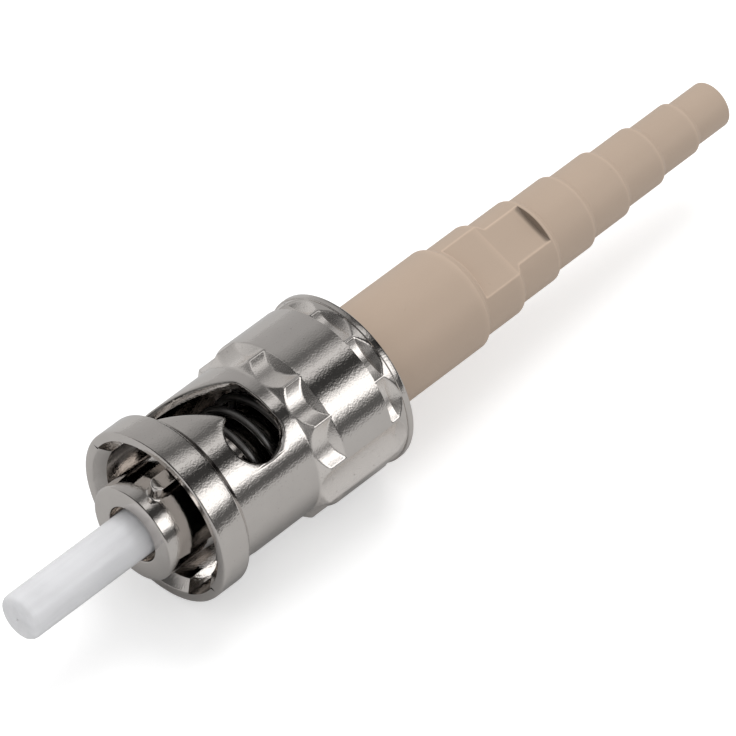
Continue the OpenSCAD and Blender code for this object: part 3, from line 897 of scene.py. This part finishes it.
class Shader:
    """A material's or the world's node tree, emptied, and one way to add nodes to it."""

    def __init__(self, tree):
        self.tree = tree
        tree.nodes.clear()

    def add(self, kind, settings=None, inputs=None):
        """Adds a node, sets its settings, then the values or links of its sockets."""
        node = self.tree.nodes.new("ShaderNode" + kind)
        for name, value in (settings or {}).items():
            setattr(node, name, value)
        for name, value in (inputs or {}).items():
            if isinstance(value, Wire):
                self.tree.links.new(value.socket, node.inputs[name])
            else:
                node.inputs[name].default_value = value
        return Wire(self, node.outputs[0]) if node.outputs else node

    def maths(self, operation, first, second):
        return self.add("Math", {"operation": operation}, {0: first, 1: second})

    def blend(self, factor, first, second):
        """A colour between two colours."""
        inputs = {0: factor, 6: first, 7: second}
        return self.add("Mix", {"data_type": "RGBA"}, inputs).of(2)

    def noise(self, place, scale, detail=2.0, roughness=0.5):
        inputs = {"Vector": place, "Scale": scale, "Detail": detail, "Roughness": roughness}
        return self.add("TexNoise", {}, inputs)

    def ramp(self, value, stops):
        """Greys between stops of (place, grey), at most 32."""
        ramp = self.add("ValToRGB", {}, {"Fac": value})
        colours = ramp.socket.node.color_ramp
        for place, grey in stops[2:]:
            colours.elements.new(place)
        for element, (place, grey) in zip(colours.elements, stops):
            element.position, element.color = place, (grey, grey, grey, 1.0)
        return ramp

    def stretched(self, place, along):
        """A place whose axis along the connector is scaled."""
        return self.add("VectorMath", {"operation": "MULTIPLY"}, {0: place, 1: (along, 1.0, 1.0)})

    def bump(self, height, distance, before=None):
        """A normal from a height in millimetres, over another normal where there is one."""
        inputs = {"Height": height, "Distance": distance * MM}
        if before is not None:
            inputs["Normal"] = before
        return self.add("Bump", {}, inputs)

    def light_path(self):
        """The Light Path, and 1 for rays from the camera or through something clear."""
        path = self.add("LightPath")
        return path, self.maths("MAXIMUM", path.of("Is Camera Ray"), path.of("Is Transmission Ray"))

    def surface(self, **inputs):
        """Puts a Principled BSDF with these inputs on the output."""
        inputs = {name.replace("_", " "): value for name, value in inputs.items()}
        shader = self.add("BsdfPrincipled", {}, inputs)
        self.add("OutputMaterial", {}, {"Surface": shader})


def new_material(name):
    """An empty shader for a new material, and the place on the piece."""
    material = bpy.data.materials.new(name)
    material.use_nodes = True
    shader = Shader(material.node_tree)
    return shader, shader.add("TexCoord").of("Object")


def shade(colour, factor):
    return (*(factor * part for part in colour), 1.0)


def nickel_plate(name, colour, grain_depth, turning, recesses):
    """Bright nickel: a fine cast grain, soft ripples and faint turned rings.

    Tumbling has polished the raised faces. The flutes stay matt, and are painted paler as a painted
    reflection:
    recesses gives the station where they start and the distances of the middle and the ridges.
    """
    shader, place = new_material(name)
    grain = shader.noise(place, 10000.0, 2.0, 0.5)
    ripple = shader.noise(place, 1500.0, 2.0)
    cloud = shader.noise(place, 900.0, 3.0)
    rings = shader.noise(shader.stretched(place, 30.0), 1000.0, 2.0)
    normal = shader.bump(ripple, 0.008)
    normal = shader.bump(rings, turning, before=normal)
    normal = shader.bump(grain, grain_depth, before=normal)
    pits = grain.step(0.64, 0.8)
    parts = shader.add("SeparateXYZ", {}, {"Vector": place})
    flat = shader.add("CombineXYZ", {}, {"Y": parts.of("Y"), "Z": parts.of("Z")})
    radius = shader.add("VectorMath", {"operation": "LENGTH"}, {0: flat}).of("Value")
    start, low, high = recesses
    behind = parts.of("X").step(start * MM, (start + 0.2) * MM)
    above_middle = radius.step((low - 0.1) * MM, low * MM)
    below_ridges = 1 - radius.step((high - 0.08) * MM, high * MM)
    matt = behind * above_middle * below_ridges
    tint = shader.blend(cloud, shade(colour, 0.95), shade(colour, 1.05))
    # Painted reflection: the matt flutes' colour is painted paler
    tint = shader.blend(matt, tint, shade(colour, 1.3))
    shader.surface(
        Base_Color=shader.blend(pits, tint, shade(colour, 0.72)),
        Metallic=1.0,
        Roughness=0.03 + 0.05 * cloud + 0.12 * pits + 0.2 * matt,
        Normal=normal,
    )


def plain_finish(name, colour, metallic, roughness, grain_scale, grain_depth):
    """A finish with a little cloud in its colour and a fine grain."""
    shader, place = new_material(name)
    grain = shader.noise(place, grain_scale, 3.0, 0.6)
    cloud = shader.noise(place, 300.0, 2.0)
    shader.surface(
        Base_Color=shader.blend(cloud, shade(colour, 0.93), shade(colour, 1.03)),
        Metallic=metallic,
        Roughness=roughness + 0.08 * (grain - 0.5),
        Normal=shader.bump(grain, grain_depth),
    )


def moulded_plastic(name, colour):
    """Satin plastic: soft flow clouds, a fine tooled grain and a few darker specks.

    Where the piece's painted light is above 0 the plastic is painted paler as a highlight, and below 0
    darker as painted shade.
    """
    shader, place = new_material(name)
    grain = shader.noise(place, 7000.0, 3.0, 0.6)
    flow = shader.noise(shader.stretched(place, 0.4), 260.0, 3.0, 0.6)
    specks = shader.noise(place, 3800.0, 1.0).step(0.74, 0.82)
    tint = shader.blend(flow, shade(colour, 0.94), shade(colour, 1.06))
    tint = shader.blend(specks * 0.3, tint, shade(colour, 0.8))
    # Painted highlight where the point's value is above 0, painted shade where it is below 0
    painted_light = shader.add("Attribute", {"attribute_name": "painted_light"}).of("Fac")
    tint = shader.blend(painted_light.step(0.0, 1.2), tint, shade(colour, 1.3))
    normal = shader.bump(shader.noise(place, 350.0, 2.0), 0.03)
    shader.surface(
        Base_Color=shader.blend((painted_light * -1.0).step(0.0, 1.0), tint, shade(colour, 0.52)),
        Roughness=0.42 + 0.16 * grain,
        Normal=shader.bump(grain, 0.004, before=normal),
    )


def zirconia(name, colour):
    """Polished white ceramic with faint cloudy streaks along its length."""
    shader, place = new_material(name)
    cloud = shader.noise(place, 500.0, 2.0)
    grind = shader.noise(shader.stretched(place, 0.12), 1600.0, 3.0, 0.6)
    streaks = (0.4 * cloud + 0.6 * grind).step(0.35, 0.65)
    shader.surface(
        Base_Color=shader.blend(streaks, shade(colour, 0.955), shade(colour, 1.04)),
        Roughness=0.2 + 0.08 * grind,
        Subsurface_Weight=0.6,
        Subsurface_Radius=(1.0, 1.0, 1.0),
        Subsurface_Scale=0.0006,
        Normal=shader.bump(grind, 0.0006),
    )


def finishes():
    """The connector's materials, made once."""
    c = bpy.context.scene.connector_finishes
    if "nut_plate" not in bpy.data.materials:
        n = in_mm(bpy.context.scene.connector_nut)
        flutes = (NUT_FRONT + n.grip_x - 0.35, n.middle_d / 2, n.grip_d / 2)
        nickel_plate("nut_plate", c.nickel, 0.0065, 0.0005, flutes)
        nickel_plate("turned_plate", c.nickel, 0.0035, 0.0015, (NOWHERE, 1.0, 2.0))
        zirconia("ceramic", c.zirconia)
        moulded_plastic("boot_plastic", c.plastic)
        # The spring's dark colour is painted shade inside the nut
        plain_finish("spring_wire", c.spring, 1.0, 0.4, 8000.0, 0.003)
        plain_finish("blackened_steel", c.clip, 1.0, 0.35, 6000.0, 0.003)
        plain_finish("tube_plastic", c.tube, 0.0, 0.35, 6000.0, 0.002)
    return bpy.data.materials


# ---- Stage ----

# The camera's place in millimetres, and the directions to its right and behind it
CAMERA_PLACE = (-141.54, -147.77, 232.37)
CAMERA_RIGHT = (0.6962, -0.7177, 0.0163)
CAMERA_BACK = (-0.4965, -0.4649, 0.7331)
AIM = Vector((12.0, -4.0, 5.0)) * MM


def add_camera(s):
    """The camera, with the direction to its right made square to the one behind it."""
    data = bpy.data.cameras.new("camera")
    data.lens, data.clip_start, data.clip_end = s.lens, 0.01, 20
    camera = in_scene("camera", data)
    back = Vector(CAMERA_BACK).normalized()
    right = (Vector(CAMERA_RIGHT) - back * back.dot(Vector(CAMERA_RIGHT))).normalized()
    axes = Matrix((right, back.cross(right), back)).transposed()
    camera.matrix_world = Matrix.Translation(Vector(CAMERA_PLACE) * MM) @ axes.to_4x4()
    bpy.context.scene.camera = camera


def add_lamp(s):
    """A broad key lamp high behind the connector, which doesn't show in reflections."""
    data = bpy.data.lights.new("key_lamp", "AREA")
    data.shape, data.size, data.energy = "DISK", 0.4, s.lamp_power
    lamp = in_scene("key_lamp", data)
    lamp.location = AIM + 0.6 * Vector((0.42, 0.25, 0.87)).normalized()
    lamp.rotation_euler = (AIM - lamp.location).to_track_quat("-Z", "Y").to_euler()
    lamp.visible_glossy = False


# The room's brightness round the connector's axis: a long softbox between two dark
# flags, a narrow strip light overhead, and pale walls. (Roll in degrees, level)
ROOM = (
    (-180, 0.45), (-132, 0.75), (-110, 0.62), (-92, 0.53), (-60, 0.46), (-44, 0.45),
    (-34, 0.36), (-26, 0.28), (-20, 0.15), (-14, 0.17), (-6, 0.5), (2, 0.9), (7, 0.75),
    (12, 0.29), (17, 0.05), (29, 0.05), (35, 0.3), (40, 1.0), (46, 1.7), (62, 1.7),
    (67, 0.65), (74, 0.14), (84, 0.12), (90, 0.45), (100, 0.66), (120, 0.7), (140, 0.6),
    (164, 0.48), (180, 0.45),
)


def studio_world(s):
    """White for the camera. Reflections show the room, which is darker beyond both ends."""
    world = bpy.data.worlds.new("studio")
    world.use_nodes = True
    shader = Shader(world.node_tree)
    way = shader.add("TexCoord").of("Generated")
    parts = shader.add("SeparateXYZ", {}, {"Vector": way})
    roll = shader.maths("ARCTAN2", parts.of("Y") * -1.0, parts.of("Z")) / (2 * math.pi) + 0.5
    top = max(level for _, level in ROOM)
    stops = [(degrees / 360 + 0.5, level / top) for degrees, level in ROOM]
    level = shader.ramp(roll, stops) * (top * s.room)
    along = parts.of("X")
    level = level * (0.2 + 0.8 * along.step(-0.72, -0.5)) * (1 - 0.85 * along.step(0.55, 0.75))
    path, seen = shader.light_path()
    glossy = path.of("Is Glossy Ray") * (1 - seen)
    strength = s.fill * (1 - glossy) + glossy * level
    strength = strength * (1 - seen) + seen
    inputs = {"Color": (1.0, 1.0, 1.0, 1.0), "Strength": strength}
    shader.add("OutputWorld", {}, {"Surface": shader.add("Background", {}, inputs)})
    bpy.context.scene.world = world


def add_floor(s):
    """A plain pale floor under the connector, whiter to the camera than in reflections."""
    half = 1.5
    z = CAD_BOX[0][2]
    mesh = bpy.data.meshes.new("floor")
    corners = [(-half, -half, z), (half, -half, z), (half, half, z), (-half, half, z)]
    mesh.from_pydata(corners, [], [(0, 1, 2, 3)])
    floor = in_scene("floor", mesh)
    material = bpy.data.materials.new("floor")
    material.use_nodes = True
    shader = Shader(material.node_tree)
    path, seen = shader.light_path()
    glossy, white = path.of("Is Glossy Ray"), (1.0, 1.0, 1.0)
    tone = shader.blend(glossy, shade(white, s.floor_tone), shade(white, s.floor_in_metal))
    matt = shader.add("BsdfDiffuse", {}, {"Color": tone})
    strength = seen * s.floor_glow + glossy * s.floor_sheen
    glow = shader.add("Emission", {}, {"Strength": strength})
    both = shader.add("AddShader", {}, {0: matt, 1: glow})
    shader.add("OutputMaterial", {}, {"Surface": both})
    mesh.materials.append(material)


# ---- Operators, panel and registration ----


class CONNECTOR_OT_stage(bpy.types.Operator):
    """Adds the camera, the light and the floor"""

    bl_idname = "connector.stage"
    bl_label = "Stage"

    def execute(self, context):
        s = context.scene.connector_stage
        context.scene.view_settings.view_transform = "Standard"
        add_camera(s)
        studio_world(s)
        add_floor(s)
        add_lamp(s)
        return {"FINISHED"}


class CONNECTOR_OT_plug(bpy.types.Operator):
    """Builds the ferrule, the barrel and its key"""

    bl_idname = "connector.plug"
    bl_label = "Ferrule and barrel"

    def execute(self, context):
        s, looks = in_mm(context.scene.connector_plug), finishes()
        add_turned("ferrule_rod", ferrule_corners(s), looks["ceramic"], "plug", "ferrule")
        metal = looks["turned_plate"]
        add_turned("barrel_shell", barrel_corners(s), metal, "plug", "barrel")
        add_tube("key", key_points(s), metal, None, capped_end=False)
        return {"FINISHED"}


class CONNECTOR_OT_spring(bpy.types.Operator):
    """Builds the spring, its thrust washer and the retaining clip"""

    bl_idname = "connector.spring"
    bl_label = "Spring, washer and clip"

    def execute(self, context):
        s, looks = in_mm(context.scene.connector_plug), finishes()
        add_spring(s, looks["spring_wire"])
        metal = looks["turned_plate"]
        add_turned("washer", washer_corners(s), metal, "spring_seat", "thrust_washer")
        steel = looks["blackened_steel"]
        add_tube("snap_ring", clip_points(s), steel, "retaining_clip")
        return {"FINISHED"}


class CONNECTOR_OT_nut(bpy.types.Operator):
    """Builds the bayonet nut"""

    bl_idname = "connector.nut"
    bl_label = "Bayonet nut"

    def execute(self, context):
        add_nut(in_mm(context.scene.connector_nut), finishes()["nut_plate"])
        return {"FINISHED"}


class CONNECTOR_OT_boot(bpy.types.Operator):
    """Builds the strain-relief boot"""

    bl_idname = "connector.boot"
    bl_label = "Boot"

    def execute(self, context):
        points, painted_light = boot_points(in_mm(context.scene.connector_boot))
        quads = ring_quads(*points.shape[:2])
        plastic = finishes()["boot_plastic"]
        add_piece("boot_shell", points, quads, plastic, "plug", "boot", 50.0, painted_light)
        return {"FINISHED"}


class CONNECTOR_OT_inner(bpy.types.Operator):
    """Gives the pieces inside the barrel and the boot their finishes"""

    bl_idname = "connector.inner"
    bl_label = "Inner pieces"

    def execute(self, context):
        looks = finishes()
        for name in ("ferrule_holder", "rear_body", "crimp_sleeve", "lead_in_tube"):
            finish = "tube_plastic" if name == "lead_in_tube" else "turned_plate"
            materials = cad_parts[name].data.materials
            materials.clear()
            materials.append(looks[finish])
        return {"FINISHED"}


OPERATORS = (
    CONNECTOR_OT_stage, CONNECTOR_OT_plug, CONNECTOR_OT_spring,
    CONNECTOR_OT_nut, CONNECTOR_OT_boot, CONNECTOR_OT_inner,
)
GROUPS = {
    "connector_plug": PlugSizes,
    "connector_nut": NutSizes,
    "connector_boot": BootSizes,
    "connector_finishes": Finishes,
    "connector_stage": StageSettings,
}


class CONNECTOR_PT_panel(bpy.types.Panel):
    """Lists the connector's pieces and settings"""

    bl_idname = "CONNECTOR_PT_panel"
    bl_label = "ST fibre connector"
    bl_space_type = "VIEW_3D"
    bl_region_type = "UI"
    bl_category = "Connector"

    def draw(self, context):
        for operator in OPERATORS:
            self.layout.operator(operator.bl_idname)
        for name, group in GROUPS.items():
            box = self.layout.box()
            for prop in group.__annotations__:
                box.prop(getattr(context.scene, name), prop)


def register():
    for cls in (*GROUPS.values(), *OPERATORS, CONNECTOR_PT_panel):
        bpy.utils.register_class(cls)
    for name, group in GROUPS.items():
        setattr(bpy.types.Scene, name, PointerProperty(type=group))


def unregister():
    for name in GROUPS:
        delattr(bpy.types.Scene, name)
    for cls in reversed((*GROUPS.values(), *OPERATORS, CONNECTOR_PT_panel)):
        bpy.utils.unregister_class(cls)


def main():
    register()
    bpy.ops.connector.stage()
    bpy.ops.connector.plug()
    bpy.ops.connector.spring()
    bpy.ops.connector.nut()
    bpy.ops.connector.boot()
    bpy.ops.connector.inner()


if __name__ == "__main__":
    main()
